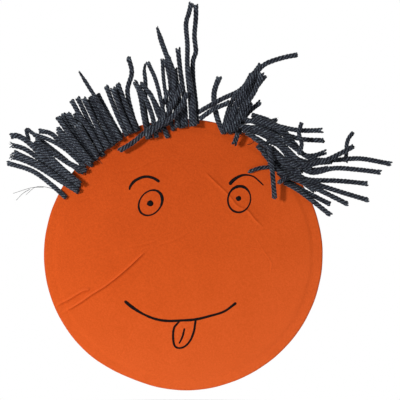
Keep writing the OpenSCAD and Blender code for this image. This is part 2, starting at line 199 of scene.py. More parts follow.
def lay_plies(curve, line, thickness, tip, chance):
    """Twists the plies round a strand's line and returns the strand's thickness at its points."""
    length = RING_STEP * (len(line) - 1)
    start = chance.uniform(0, math.tau)
    hand = chance.uniform(0.9, 1.12)
    girths = []
    for ply in range(PLIES):
        trim = chance.uniform(0, UNEVEN_CUT) if ply else 0
        rings = []
        for i, place in enumerate(line):
            done = RING_STEP * i
            left = length - done - trim
            if left < 0:
                break
            along = (line[min(i + 1, len(line) - 1)] - line[max(i - 1, 0)]).normalized()
            side = along.cross(Vector((0, 1, 0))).normalized()
            front = side.cross(along)
            slack = TURN_SLACK * noise.noise(place * 0.13 + Vector((0, ply * 5, 0)))
            turn = start + math.tau * (done / (TWIST * hand) + ply / PLIES) + slack
            open_end = max(0, 1 - left / OPEN_LENGTH) ** 2 * (FRAYED_OPEN if tip == "frayed" else CUT_OPEN)
            close_end = min(1, POINTED_TIP + left / POINTED_TAPER) if tip == "pointed" else 1
            round_end = min(1, ROUND_END + (1 - ROUND_END) * left / ROUND_LENGTH)
            spread = PLY_SPREAD * thickness * (1 + open_end) * close_end
            wander = 1 + 0.1 * noise.noise(place * 0.5 + Vector((ply * 9, 0, 0)))
            radius = PLY_RADIUS * thickness * close_end * round_end * wander
            if tip == "frayed":
                radius *= min(1, FRAYED_TIP + left / FRAYED_TAPER)
            offset = side * math.cos(turn) + front * math.sin(turn)
            rings.append((place + offset * spread, radius))
            if not ply:
                girths.append(thickness * close_end)
        add_spline(curve, rings)
    return girths


def lay_fuzz(curve, line, thickness, chance):
    """Loose fibres that leave the strand at a slant and curl."""
    for _ in range(int(RING_STEP * len(line) / FUZZ_GAP)):
        i = chance.randrange(1, len(line) - 1)
        near_end = min(i, len(line) - 1 - i) * RING_STEP < END_ZONE
        along = (line[i + 1] - line[i - 1]).normalized() * chance.choice((-1, 1))
        side = along.cross(Vector((0, 1, 0))).normalized()
        turn = chance.uniform(0, math.tau)
        out = side * math.cos(turn) + side.cross(along) * math.sin(turn)
        reach = chance.uniform(1.0, SHORT_FUZZ if near_end else LONG_FUZZ)
        curl = chance.uniform(-0.5, 0.5)
        rings = []
        for step in range(FUZZ_STEPS + 1):
            t = step / FUZZ_STEPS
            rise = thickness * 0.4 + reach * FUZZ_LEAN * t ** 1.3
            place = line[i] + out * rise + along * reach * t + side * curl * t * t
            rings.append((place, FUZZ_RADIUS * (1 - 0.6 * t)))
        add_spline(curve, rings)


def curve_mesh(curve, name):
    """Turns the curve into one closed, smooth mesh object in metres."""
    holder = bpy.data.objects.new(name, curve)
    bpy.context.scene.collection.objects.link(holder)
    graph = bpy.context.evaluated_depsgraph_get()
    mesh = bpy.data.meshes.new_from_object(holder.evaluated_get(graph))
    bpy.data.objects.remove(holder)
    shape = bmesh.new()
    shape.from_mesh(mesh)
    bmesh.ops.remove_doubles(shape, verts=shape.verts, dist=WELD)
    bmesh.ops.scale(shape, vec=(MM, MM, MM), verts=shape.verts)
    bmesh.ops.recalc_face_normals(shape, faces=shape.faces)
    for face in shape.faces:
        face.smooth = True
    shape.to_mesh(mesh)
    shape.free()
    mesh.name = name
    piece = bpy.data.objects.new(name, mesh)
    bpy.context.scene.collection.objects.link(piece)
    return piece


def paint_groove_shade(piece, strands):
    """Stores on the wool how near each point is to the crest of its ply, 0 in a groove and 1 on top; the
    wool's colour reads it to paint shade into the grooves.
    """
    tree = kdtree.KDTree(sum(len(line) for line, _ in strands))
    axes = []
    for line, girths in strands:
        for i, (place, girth) in enumerate(zip(line, girths)):
            along = (line[min(i + 1, len(line) - 1)] - line[max(i - 1, 0)]).normalized()
            tree.insert(place, len(axes))
            axes.append((place, along, girth))
    tree.balance()
    crest = piece.data.attributes.new("crest", "FLOAT", "POINT")
    for vert, mark in zip(piece.data.vertices, crest.data):
        place, along, girth = axes[tree.find(vert.co / MM)[1]]
        off = vert.co / MM - place
        out = (off - along * off.dot(along)).length / girth
        crest_share = max(0, min(1, (out - GROOVE) / (CREST - GROOVE)))
        mark.value = crest_share if out < 1 else FUZZ_PAINTED_SHADE


def new_curve(name, sides):
    """An empty curve whose splines get round walls, in millimetres."""
    curve = bpy.data.curves.new(name, "CURVE")
    curve.dimensions = "3D"
    curve.bevel_depth = 1
    curve.bevel_resolution = sides // 2 - 2
    curve.use_fill_caps = True
    return curve


# Each row: node, tips and its strands. A strand is its thickness and its route from root to
# tip as across, out in front of the face and up, in millimetres from the face's middle.
HAIR = [
    ("yarn_left_1", "blunt", [(3, [(-84, 1.9, 41), (-94, 2, 50), (-108, 0.5, 60), (-127, -3, 66)])]),
    ("yarn_left_2", "frayed", [(3, [(-75, 1.9, 45), (-88, 1.9, 53), (-104, 2, 63), (-118, 1, 69),
        (-125, 0, 70)])]),
    ("yarn_left_3", "frayed", [(3, [(-74, 1.9, 49), (-85, 2, 56), (-102, 1, 68), (-114, 0, 76),
        (-125, -2, 79)])]),
    ("yarn_left_4", "blunt", [(3.4, [(-77, 5.3, 53), (-85, 4.9, 59), (-99, 4, 69), (-110, 3, 80),
        (-118, 2, 85), (-124, 1, 85)])]),
    ("yarn_left_5", "blunt", [(2.4, [(-74, 1.7, 59), (-85, 1.9, 69), (-99, -1, 80), (-108, -3, 87),
        (-113, -4, 90), (-111, -6, 81)])]),
    ("tuft_left", "blunt", [
        (3, [(-69, 5, 60), (-80, 5.4, 65), (-95, 5.8, 74), (-106, 6, 82)]),
        (3, [(-65, 1.9, 64), (-75, 1.9, 70), (-88, 1, 81), (-95, 0, 87), (-104, -2, 89)]),
        (3, [(-65, 5, 66), (-71, 5, 73), (-80, 5, 81), (-90, 6, 91)]),
        (3, [(-75, 5.2, 46), (-87, 5.1, 54), (-103, 4.6, 65), (-122, 3, 74)]),
        (3, [(-73, 8.4, 51), (-85, 8.3, 61), (-98, 8.2, 73), (-110, 7, 80)]),
    ]),
    ("tuft_upper_left", "blunt", [
        (3, [(-65, 8.2, 66), (-74, 8, 77), (-83, 7, 89), (-90, 5, 99)]),
        (3, [(-62, 1.9, 68), (-71, 1.9, 80), (-80, 0, 92), (-87, -2, 102)]),
        (3, [(-60, 5, 70), (-70, 5, 84), (-77, 4, 94), (-83, 2, 102)]),
        (3, [(-57, 1.9, 71), (-65, 1.9, 83), (-73, 1, 93), (-78, 0, 102)]),
        (3, [(-61, 8.3, 71), (-69, 8.2, 84), (-75, 7.6, 95)]),
    ]),
    ("tuft_crown_left", "blunt", [
        (3, [(-44, 1.9, 84), (-51, 1.9, 96), (-57, 0, 107), (-62, -2, 116)]),
        (3, [(-47, 1.9, 81), (-55, 1.9, 93), (-60, 1, 105), (-65, 0, 115)]),
        (3, [(-58, 8.2, 74), (-65, 8, 87), (-73, 7, 99), (-80, 5, 111)]),
        (3, [(-55, 5, 75), (-64, 5, 89), (-71, 3, 103), (-76, 1, 113)]),
        (3, [(-52, 1.9, 77), (-60, 1.9, 90), (-68, 0, 105), (-72, -2, 113)]),
        (3, [(-50, 5, 78), (-57, 4.5, 92), (-64, 2.5, 104), (-68, 1, 112)]),
        (3, [(-53, 8.2, 77), (-60, 8.1, 89), (-66, 7, 102), (-71, 6, 112)]),
    ]),
    ("yarn_crown_1", "pointed", [(2.4, [(-44, 5, 82), (-52, 4.8, 95), (-61, 4.6, 110), (-68, 4, 121),
        (-75, 1, 132)])]),
    ("yarn_crown_2", "blunt", [(3, [(-32, 1.9, 89), (-36, 1.9, 99), (-40, 0, 117), (-37, -2, 131),
        (-40, -4, 143)])]),
    ("yarn_crown_3", "pointed", [(2.6, [(-23, 1.9, 84), (-27, 1.9, 102), (-27, -1, 122), (-28, -3, 132),
        (-27, -4, 139)])]),
    ("yarn_crown_4", "blunt", [(2.6, [(-12, 5, 92), (-16, 5, 111), (-20, 2, 126), (-26, -1, 139)])]),
    ("yarn_crown_5", "pointed", [(3.2, [(-4, 5, 91), (-6, 5, 111), (-7, 4, 130), (-12, 2, 143),
        (-16, 1, 154), (-19, 0, 164)])]),
    ("yarn_crown_6", "blunt", [(2.4, [(-7, 1.9, 89), (-11, 1.9, 106), (-14, 0, 125),
        (-15, -1.5, 141)])]),
    ("yarn_crown_7", "blunt", [(3, [(2, 1.9, 92), (1, 1.9, 109), (-2, 0, 131), (-4, -2, 149)])]),
    ("yarn_crown_8", "blunt", [(3, [(6, 5, 92), (5, 5, 111), (3, 3, 132), (3, 2, 150), (2, 1.5, 165),
        (4, 1.5, 173), (6, 1.5, 181)])]),
    ("yarn_crown_9", "blunt", [(3, [(10, 1.9, 94), (9, 1.9, 108), (7, -0.5, 127), (7, -1.5, 139),
        (9, -1.5, 146), (8, -1.5, 157), (9, -1.5, 170), (9, -0.8, 180)])]),
    ("tuft_crown", "blunt", [
        (3, [(-40, 5, 85), (-47, 5.5, 100), (-55, 7, 121)]),
        (3, [(-37, 1.9, 87), (-42, 1.9, 97), (-51, -1, 120)]),
        (3, [(-33, 5, 88), (-40, 5, 105), (-47, 4, 123)]),
        (3, [(-37, 8.2, 87), (-44, 8.2, 102), (-50, 8.2, 119)]),
        (3, [(-25, 5, 83), (-28, 5, 98), (-31, 3, 115), (-35, 2, 125)]),
        (3, [(-11, 1.9, 84), (-18, 3, 101), (-23, 4, 114), (-31, 5, 123)]),
        (3, [(-19, 4.9, 84), (-22, 5, 99), (-27, 6, 112), (-34, 7.8, 122)]),
        (3, [(-2, 1.9, 91), (-4, 1.9, 109), (-7, 0.6, 128), (-11, -1.6, 142)]),
        (3, [(8, 8.2, 92), (7, 8.1, 108), (5, 7, 122), (3, 6.2, 135)]),
    ]),
    ("yarn_loose", "blunt", [(3, [(-1, 11.4, 121), (-6, 9.4, 109), (-14, 8.4, 97), (-25, 8.3, 89),
        (-36, 8.2, 80), (-46, 7.5, 74)])]),
    ("yarn_peak_1", "blunt", [(3.4, [(29, 2.1, 87), (24, 2.1, 99), (22, 1, 115), (26, 0, 128)])]),
    ("yarn_peak_2", "blunt", [(3, [(11, 5, 102), (27, 5, 111), (41, 4, 118), (49, 3, 128),
        (56, 2, 137)])]),
    ("yarn_peak_3", "blunt", [(3, [(29, 5.5, 87), (35, 5.3, 102), (41, 6.2, 114), (49, 8, 125),
        (57, 8, 135), (69, 7, 140), (82, 5, 143)])]),
    ("yarn_peak_4", "blunt", [(3, [(33, 1.9, 87), (38, 1.9, 99), (46, 0, 114), (55, -2, 130)])]),
    ("tuft_peak", "blunt", [
        (3, [(3, 11.4, 115), (-2, 11.4, 105), (-9, 11.4, 97), (-18, 11.4, 91), (-27, 11, 84)]),
        (3, [(12, 8.2, 97), (22, 8.2, 104), (34, 8.4, 109)]),
        (3, [(37, 5, 87), (42, 5, 102), (49, 3, 115), (59, 1, 129)]),
        (3, [(40, 1.9, 87), (45, 1.9, 100), (56, 0, 110)]),
        (3, [(34, 8.3, 88), (43, 8.4, 104), (51, 9.6, 117), (56, 11, 130)]),
        (3, [(39, 8.3, 87), (36, 7.2, 78)]),
    ]),
    ("yarn_right_1", "blunt", [(3, [(44, 8.2, 95), (54, 8.2, 96), (67, 8, 92), (82, 6.4, 89),
        (100, 4, 89)])]),
    ("yarn_right_2", "blunt", [(3, [(46, 1.9, 91), (57, 1.9, 91), (70, 1.6, 87), (85, 0, 83),
        (102, -2, 82)])]),
    ("yarn_right_3", "blunt", [(3, [(43, 5, 89), (54, 5, 87), (67, 5.2, 79), (78, 6, 68), (91, 4, 59),
        (108, 3, 62), (125, 2, 61), (142, 1, 59)])]),
    ("yarn_right_4", "blunt", [(3, [(45, 8.2, 87), (57, 8.2, 80), (67, 8.2, 71), (81, 9.4, 64),
        (97, 8, 66), (111, 7, 72), (122, 6, 78)])]),
    ("yarn_right_5", "blunt", [(3, [(49, 4.9, 100), (61, 4.9, 96), (71, 4.6, 89), (79, 4, 80),
        (86, 3, 72), (93, 2, 71), (103, 1, 74)])]),
    ("yarn_right_6", "blunt", [(3, [(49, 8.2, 91), (62, 8.2, 87), (77, 8.2, 78), (91, 5.6, 69),
        (108, 0, 68), (127, -1, 69), (150, -2, 65)])]),
    ("yarn_right_7", "blunt", [(3, [(53, 1.9, 78), (63, 1.9, 69), (75, 2, 59), (89, 1.2, 54),
        (112, -1, 53), (133, -3, 51)])]),
    ("yarn_right_8", "blunt", [(3, [(57, 5, 73), (67, 5, 62), (81, 5, 55), (100, 4, 49), (116, 3, 44),
        (133, 2, 39)])]),
    ("yarn_right_9", "blunt", [(3, [(61, 8.2, 66), (71, 8.2, 58), (87, 7.2, 51), (102, 5.5, 44),
        (118, 4, 36)])]),
    ("tuft_right", "blunt", [
        (3, [(68, 1.9, 59), (77, 2, 51), (90, 1.8, 44), (106, -1, 36)]),
        (3, [(72, 5, 52), (81, 5.2, 47), (92, 4, 39), (106, 1, 28)]),
        (3, [(55, 1.9, 87), (62, 1.9, 84), (73, 1.9, 77), (82, 0.6, 68), (92, -1, 61)]),
        (3, [(50, 1.9, 84), (61, 1.9, 77), (73, 1.9, 68), (82, 1, 60)]),
        (3, [(58, 5, 77), (67, 5, 69), (77, 5.2, 62), (85, 8, 59)]),
        (2.4, [(49, 1.7, 97), (57, 1.7, 95), (68, 0, 97)]),
        (2.6, [(84, 10.5, 94), (82, 11.3, 87), (84, 11.3, 79), (82, 11, 71)]),
        (2.6, [(122, -2, 88), (118, -3.6, 81), (117, -4.4, 66)]),
        (2.4, [(62, 1.7, 63), (54, 1.7, 62), (46, 1.7, 59)]),
        (3, [(61, 11.4, 78), (63, 11.4, 61), (64, 11, 51), (65, 9, 40)]),
        (2.6, [(74, 11.2, 56), (67, 10, 51)]),
    ]),
]

# Routes of the strands packed into the gaps inside the tufts, squeezed thinner by the others
PACKED_THICKNESS = 2.7
PACKED = {
    "tuft_left": [
        [(-70, 3.4, 62.5), (-83, 3.4, 74.7), (-95, 2.5, 82), (-108, 0, 86.5)],
        [(-71, 3.6, 59), (-85.5, 3.6, 67.5), (-95, 3.4, 75), (-104, 3, 80)],
    ],
    "tuft_upper_left": [
        [(-63.5, 3.4, 67), (-72.5, 3.4, 78.5), (-81.5, 3.4, 90.5), (-88, 2, 100)],
        [(-67, 5, 66), (-77, 4, 74), (-86, 3, 83), (-90, 2, 89)],
    ],
    "tuft_crown_left": [
        [(-48, 3.4, 80), (-57, 3.4, 93), (-64, 1, 108), (-67, 0, 114)],
        [(-45, 3, 82), (-53, 3, 95), (-59, 1, 107), (-63.5, 0, 115)],
    ],
    "tuft_crown": [
        [(-35, 3.4, 87.5), (-41, 3.4, 101), (-49, 1.5, 121)],
        [(-9.7, 3, 93), (-8.8, 4, 109), (-9.3, 3, 123), (-11.6, 2, 135), (-13.4, 1, 141)],
        [(-17, 3, 88), (-15, 3.5, 105), (-10, 4, 118)],
        [(-13.4, 3, 92), (-18, 3.4, 105), (-22.5, 4, 113), (-26, 3, 118)],
        [(0, 3.4, 91), (-2, 3.4, 106), (-4, 2.4, 120), (-6, 1, 134)],
    ],
    "tuft_peak": [
        [(30.8, 3.4, 88), (33, 3.4, 98), (38, 4, 109), (42.5, 4, 118), (49, 3, 130)],
        [(28.5, 4.2, 89), (31.7, 4, 102), (36, 5, 112), (41, 5, 118)],
        [(34, 6.5, 87.5), (38.6, 6.5, 98), (42.2, 6.5, 107), (46, 6, 116), (53, 5, 131)],
        [(36.7, 7, 88), (39.5, 7, 95), (44, 7, 101), (49, 6, 109)],
        [(31, 6.5, 88), (35.5, 7, 97), (38, 7, 106), (45, 6.5, 117)],
    ],
    "tuft_right": [
        [(42, 6.8, 89.6), (56, 6.8, 88.7), (67, 6.8, 79.5), (76, 7, 68.6), (85, 6.5, 62),
         (94.4, 5, 61), (105, 4, 62.5)],
        [(63, 6.5, 76.8), (71.5, 6.5, 68.6), (79.7, 5, 59.4), (88.9, 3.5, 53.9), (99, 2.5, 53)],
        [(60, 6.5, 75), (70, 6.6, 67), (80, 6.5, 58.5), (91, 4.5, 50.5), (100, 3.5, 46.6)],
        [(59.6, 6.6, 81.4), (68.7, 6.8, 77.7), (78, 7, 70.4), (87, 7, 66.7), (97, 5, 65.8), (107, 3, 66.7)],
        [(60, 3.4, 90.5), (71.5, 3.4, 88.7), (76, 3, 84), (79, 3, 78)],
        [(42, 6.6, 97.5), (53, 6.6, 94), (63, 6.6, 92), (70.6, 6, 87), (76, 5.5, 79)],
        [(40, 6.6, 92), (48.6, 6.6, 91), (57.8, 6.6, 88), (65, 6.5, 84), (71, 6.5, 77)],
        [(66, 3.4, 66), (76, 3.4, 59), (85, 3.4, 52), (95, 2, 45)],
        [(62, 9.4, 83), (73, 9.4, 76), (83, 9, 67), (92, 7, 62)],
    ],
}

# Single dark hairs that came loose: three sweep off the left edge, the rest lie on the face
WISP_ROOT, WISP_TIP = 0.19, 0.11    # radius at its two ends
WISPS = [
    [(-90, 2, 46), (-98, 1, 48.5), (-106, 0, 48.5), (-113, -1, 43)],
    [(-100, 1, 48.5), (-109, 1, 48), (-122, 0, 44)],
    [(-110, 0, 47), (-115, 0, 44), (-120, -1, 39)],
    [(-63, 0.4, 73), (-61, 0.5, 69), (-58, 0.5, 65)],
    [(-60, 0.4, 77), (-58, 0.5, 75), (-56, 0.5, 73.5)],
    [(-52, 0.4, 84), (-49, 0.6, 80), (-44, 0.5, 78)],
    [(-75, 0.4, 60), (-73, 0.5, 58), (-70, 0.5, 57)],
    [(-77, 0.4, 50), (-74, 0.5, 49), (-73, 0.5, 46)],
    [(39, 0.4, 84), (41, 0.6, 85), (44, 0.5, 87)],
    [(46, 0.4, 79), (49, 0.6, 80), (52, 0.5, 83)],
]


def row_place(point):
    """A point given from the face's middle, in millimetres of the row frame."""
    across, out, up = point
    return Vector((across, face_front / MM - out, face_middle.z / MM + up))


roots = []
for node, tip, strands in HAIR:
    chance = random.Random(node)
    plies = new_curve(node + "_plies", PLY_SIDES)
    fuzz = new_curve(node + "_fuzz", FUZZ_SIDES)
    lines = []
    packed = [(PACKED_THICKNESS, route) for route in PACKED.get(node, [])]
    for thickness, route in strands + packed:
        line = even(smooth([row_place(p) for p in route], ROUTE_STEPS), RING_STEP)
        roots.append((line[0], (line[3] - line[0]).normalized()))
        lines.append((line, lay_plies(plies, line, thickness, tip, chance)))
        lay_fuzz(fuzz, line, thickness, chance)
    if node == "tuft_left":
        for wisp in WISPS:
            hair = smooth([row_place(p) for p in wisp], 6)
            taper = (WISP_ROOT - WISP_TIP) / len(hair)
            add_spline(fuzz, [(p, WISP_ROOT - taper * i) for i, p in enumerate(hair)])
    yarn = curve_mesh(plies, node + "_wool")
    loose = curve_mesh(fuzz, node + "_loose")
    with bpy.context.temp_override(active_object=yarn, selected_editable_objects=[yarn, loose]):
        bpy.ops.object.join()
    paint_groove_shade(yarn, lines)
    yarn.data.materials.append(wool)
    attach(yarn, "head")
    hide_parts(node)


# ---------------------------------------------------------------- face
# A disc of orange construction paper cut out by hand round a plate, glued to card. It has
# been creased and smoothed out again, and its free edge droops past the card behind it.
FACE_W = 200
FACE_H = 195
CUT_FLAT = 1.6      # depth of the flat cut, its direction and how wide it is, in degrees
FLAT_AT, FLAT_SPAN = 247, 16
EDGE_SHAKE, SHAKE_RATE = 0.18, 7    # how far the scissors strayed, and how often
CARD_INSET = 8
PAPER = 0.3
BULGE = 0.9         # the middle stands off the card this far
LEAST_RISE = 0.15   # and no hollow goes through to the card
RIPPLES = [(0.22, 34, 0), (0.07, 11, 5)]    # height, size and seed of soft waves in the paper
EDGE_DROOP = 0.5
DROOP_LENGTH = 2.2


def edge_reach(angle):
    """How far the cut edge is from the face's middle in a direction, in millimetres."""
    turned = math.degrees(angle) % 360
    flat = CUT_FLAT * math.exp(-((turned - FLAT_AT) / FLAT_SPAN) ** 2)
    shake = EDGE_SHAKE * noise.noise(Vector((math.cos(angle), math.sin(angle), 0)) * SHAKE_RATE)
    oval = 1 / math.hypot(math.cos(angle) / (FACE_W / 2), math.sin(angle) / (FACE_H / 2))
    return oval - flat + shake


# Creases: height, half-width and the line they run along, from the face's middle. Each has
# been pressed over to the right of its line, so that side is steeper.
CREASES = [
    (0.3, 1.0, [(-58, 61), (-42, 60), (-31, 63), (-17, 68.5), (-6, 69), (5, 68), (12, 66), (21, 61)]),
    (0.55, 1.5, [(59, 18), (51, 26), (46, 32), (39, 35), (32, 43.5), (20, 55), (15, 60)]),
    (-0.9, 7, [(24, 63), (32, 54), (43, 45), (53, 35), (64, 24)]),
    (1.4, 1.5, [(-89, -43), (-75, -35), (-65, -28), (-56, -22.5), (-45, -14), (-35, -5), (-24, 5.5)]),
    (1.1, 1.3, [(-92, -37), (-82, -32), (-72, -26), (-66, -25)]),
    (0.35, 0.9, [(-40, 5.5), (-30, 7), (-17, 10.5)]),
    (0.35, 0.9, [(-20, 6), (-8, 10), (3.5, 15)]),
    (0.2, 1.2, [(-35, -52), (-39, -62), (-45, -75)]),
    (0.3, 0.8, [(43, 7), (50, 5), (56.5, 3.5)]),
    (0.3, 0.9, [(52, 12), (58, 2), (63, -6), (62, -14)]),
]


def line_distance(x, z, line):
    """How far a point is from a line of points, negative to its right, and how far along it."""
    best = (1e9, 0)
    for k in range(len(line) - 1):
        (ax, az), (bx, bz) = line[k], line[k + 1]
        dx, dz = bx - ax, bz - az
        t = max(0, min(1, ((x - ax) * dx + (z - az) * dz) / (dx * dx + dz * dz)))
        gap = math.hypot(x - ax - t * dx, z - az - t * dz)
        if gap < abs(best[0]):
            side = dx * (z - az) - dz * (x - ax)
            best = (math.copysign(gap, side), (k + t) / (len(line) - 1))
    return best


def ease(t):
    """0 up to 0, 1 from 1 on, and a soft step between them."""
    t = max(0, min(1, t))
    return t * t * (3 - 2 * t)


CREASE_REACH = 7    # a crease is smoothed away this many half-widths from its line
STEEP_SIDE = 0.42   # how wide the steeper side of a crease is beside the other
FADE_SHARE = 0.15   # share of its length over which a crease fades out at each end
crease_lines = []
for height, width, points in CREASES:
    line = [(p.x, p.y) for p in smooth([Vector(p) for p in points], 4)]
    reach = width * CREASE_REACH
    low = [min(p[k] for p in line) - reach for k in (0, 1)]
    high = [max(p[k] for p in line) + reach for k in (0, 1)]
    crease_lines.append((height, width, line, low, high))


def creases_at(x, z):
    """The creases that reach a point: height there, half-width and distance from the crease's line."""
    for height, width, line, low, high in crease_lines:
        if low[0] < x < high[0] and low[1] < z < high[1]:
            away, along = line_distance(x, z, line)
            if abs(away) < width * CREASE_REACH:
                half = width * STEEP_SIDE if away < 0 else width
                fade = ease(along / FADE_SHARE) * ease((1 - along) / FADE_SHARE)
                yield height * fade, half, away


def paper_rise(x, z):
    """How far the paper stands in front of its flat place at a point of the face."""
    span = edge_reach(math.atan2(z, x))
    share = math.hypot(x, z) / span
    rise = BULGE * (1 - share ** 2)
    for height, size, seed in RIPPLES:
        rise += height * noise.noise(Vector((x, z, seed)) / size)
    for height, width, away in creases_at(x, z):
        rise += height / (1 + (away / width) ** 2) ** 1.5
    rise = (rise + math.hypot(rise, LEAST_RISE)) / 2
    past_card = math.hypot(x, z) - (span - CARD_INSET)
    return rise - EDGE_DROOP * ease(past_card / DROOP_LENGTH + 0.5)


def face_place(x, z, lift=0):
    """A point of the paper's front surface, lifted off it, in the row frame in metres."""
    return Vector((x * MM, face_front - (paper_rise(x, z) + lift) * MM, face_middle.z + z * MM))


EDGE_STEPS = 360
RINGS = 84
FINE_REACH = 3.2    # the mesh is finer this near a sharp crease
SHARP = 1.6         # and a crease narrower than this is sharp
# painted light and shade: a sharp crease gets a painted highlight beside its crest and a painted shadow at
# its foot, on its steeper side
PAINTED_HIGHLIGHT_AT, PAINTED_HIGHLIGHT_WIDTH = 0.6, 0.7
PAINTED_SHADOW_AT, PAINTED_SHADOW_WIDTH = -0.8, 0.8
PAINTED_SHADOW_DEPTH = 0.8
paper_shape = bmesh.new()
bmesh.ops.create_circle(paper_shape, cap_ends=False, segments=EDGE_STEPS, radius=1)
ring_edges = list(paper_shape.edges)
for ring in range(RINGS, 1, -1):
    grown = bmesh.ops.extrude_edge_only(paper_shape, edges=ring_edges)["geom"]
    inner = [v for v in grown if isinstance(v, bmesh.types.BMVert)]
    ring_edges = [e for e in grown if isinstance(e, bmesh.types.BMEdge)]
    bmesh.ops.scale(paper_shape, vec=[(ring - 1) / ring] * 3, verts=inner)
bmesh.ops.contextual_create(paper_shape, geom=ring_edges)
bmesh.ops.poke(paper_shape, faces=[f for f in paper_shape.faces if len(f.verts) > 4])
sharp = []
for edge in paper_shape.edges:
    spot = (edge.verts[0].co + edge.verts[1].co) / 2
    near = creases_at(spot.x * FACE_W / 2, spot.y * FACE_H / 2)
    if any(abs(away) < FINE_REACH and width < SHARP for _, width, away in near):
        sharp.append(edge)
bmesh.ops.subdivide_edges(paper_shape, edges=sharp, cuts=3, use_grid_fill=True)


def painted_crease_light_at(x, z):
    """How much lighter the painted highlight beside each sharp crease makes the paper at a point; less than
    nothing where the painted shadow at its foot makes it darker.
    """
    crease_paint = 0
    for height, width, away in creases_at(x, z):
        if width < SHARP:
            crease_paint += height * math.exp(-((away - PAINTED_HIGHLIGHT_AT) / PAINTED_HIGHLIGHT_WIDTH) ** 2)
            crease_paint -= height * PAINTED_SHADOW_DEPTH * math.exp(-((away - PAINTED_SHADOW_AT) / PAINTED_SHADOW_WIDTH) ** 2)
    return crease_paint


crease_light_shade = paper_shape.verts.layers.float.new("crease_light_shade")
for vert in paper_shape.verts:
    angle, share = math.atan2(vert.co.y, vert.co.x), vert.co.xy.length
    span = edge_reach(angle)
    x, z = share * span * math.cos(angle), share * span * math.sin(angle)
    vert[crease_light_shade] = painted_crease_light_at(x, z)
    vert.co = face_place(x, z)
bmesh.ops.recalc_face_normals(paper_shape, faces=paper_shape.faces)
if sum(face.normal.y for face in paper_shape.faces) > 0:
    bmesh.ops.reverse_faces(paper_shape, faces=paper_shape.faces)


def finished(shape, name, material, thickness=0, smooth_faces=True):
    """Makes a mesh object from a shape, with a wall behind its faces if it has a thickness."""
    for face in shape.faces:
        face.smooth = smooth_faces
    mesh = bpy.data.meshes.new(name)
    shape.to_mesh(mesh)
    shape.free()
    mesh.materials.append(material)
    piece = bpy.data.objects.new(name, mesh)
    bpy.context.scene.collection.objects.link(piece)
    if thickness:
        wall = piece.modifiers.new("wall", "SOLIDIFY")
        wall.thickness = thickness * MM
        wall.offset = -1
    return piece


# Uncoated construction paper, dyed through: matt and slightly rough, with short fibres
# and soft clouds in the dye; painted shade darkens its top and painted light brightens its bottom and rim
orange, orange_shader = new_material("orange_construction_paper", Roughness=0.85,
                                     Specular_IOR_Level=0.06)
orange_place = add_node(orange, "ShaderNodeTexCoord").outputs["Object"]
# painted light and shade: the paper is coloured darker towards the top and a little towards the left, and
# lighter towards the bottom, the right and the rim, measured here in units of 100 mm
falloff_place = add_node(orange, "ShaderNodeMapping",
                      {"Vector": orange_place, "Location": (0, 0, -10 * face_middle.z),
                       "Scale": (10, 10, 10)}).outputs["Vector"]
painted_light_slope = add_node(orange, "ShaderNodeVectorMath", {0: falloff_place, 1: (-0.15, 0, 0.36)},
                      operation="DOT_PRODUCT")
painted_rim_light = add_node(orange, "ShaderNodeVectorMath", {0: falloff_place, 1: falloff_place},
                    operation="DOT_PRODUCT")
painted_light_falloff = add_node(orange, "ShaderNodeMath",
                    {0: painted_rim_light.outputs["Value"], 1: -0.17, 2: painted_light_slope.outputs["Value"]},
                    operation="MULTIPLY_ADD")
clouds = add_node(orange, "ShaderNodeTexNoise",
                  {"Vector": orange_place, "Scale": 38, "Detail": 5, "Roughness": 0.6})
grain = add_node(orange, "ShaderNodeTexNoise",
                 {"Vector": orange_place, "Scale": 900, "Detail": 3, "Roughness": 0.6})
grain_part = add_node(orange, "ShaderNodeMath",
                      {0: grain.outputs["Fac"], 1: 0.72, 2: 0.15}, operation="MULTIPLY_ADD")
mottle = add_node(orange, "ShaderNodeMath",
                  {0: clouds.outputs["Fac"], 1: 0.28, 2: grain_part.outputs[0]}, operation="MULTIPLY_ADD")
tone_and_painted_light = add_node(orange, "ShaderNodeMath", {0: painted_light_falloff.outputs[0], 1: mottle.outputs[0]},
                operation="ADD")
# painted highlight and painted shadow along the sharp creases, from the mark laid on the paper
painted_crease_marks = add_node(orange, "ShaderNodeAttribute", attribute_name="crease_light_shade").outputs["Fac"]
tone_and_painted_light = add_node(orange, "ShaderNodeMath", {0: painted_crease_marks, 1: -0.25, 2: tone_and_painted_light.outputs[0]},
                operation="MULTIPLY_ADD")
orange_colour = ramp(orange, tone_and_painted_light.outputs[0], (0.0, "#E4622B"), (0.55, "#D0541D"), (1.0, "#B94514"))
orange_bump = add_node(orange, "ShaderNodeBump",
                       {"Height": grain.outputs["Fac"], "Strength": 0.5, "Distance": 0.0003})
orange.node_tree.links.new(orange_colour, orange_shader.inputs["Base Color"])
orange.node_tree.links.new(orange_bump.outputs["Normal"], orange_shader.inputs["Normal"])

paper = finished(paper_shape, "creased_face_paper", orange, PAPER)
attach(paper, "head")
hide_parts("face_paper")


# ---------------------------------------------------------------- drawing
# The face is drawn with a black felt pen pressed harder here and lighter there. The ink
# soaks into the paper's front, so each line follows the creases under it.
INK = 0.12
ink, ink_shader = new_material("black_felt_pen_ink", Roughness=0.75, Specular_IOR_Level=0.15)
ink_place = add_node(ink, "ShaderNodeTexCoord").outputs["Object"]
ink_soak = add_node(ink, "ShaderNodeTexNoise",
                    {"Vector": ink_place, "Scale": 900, "Detail": 3, "Roughness": 0.7})
ink_colour = ramp(ink, ink_soak.outputs["Fac"], (0.4, "#050304"), (0.62, "#0C0606"), (0.85, "#2A0F08"))
ink.node_tree.links.new(ink_colour, ink_shader.inputs["Base Color"])


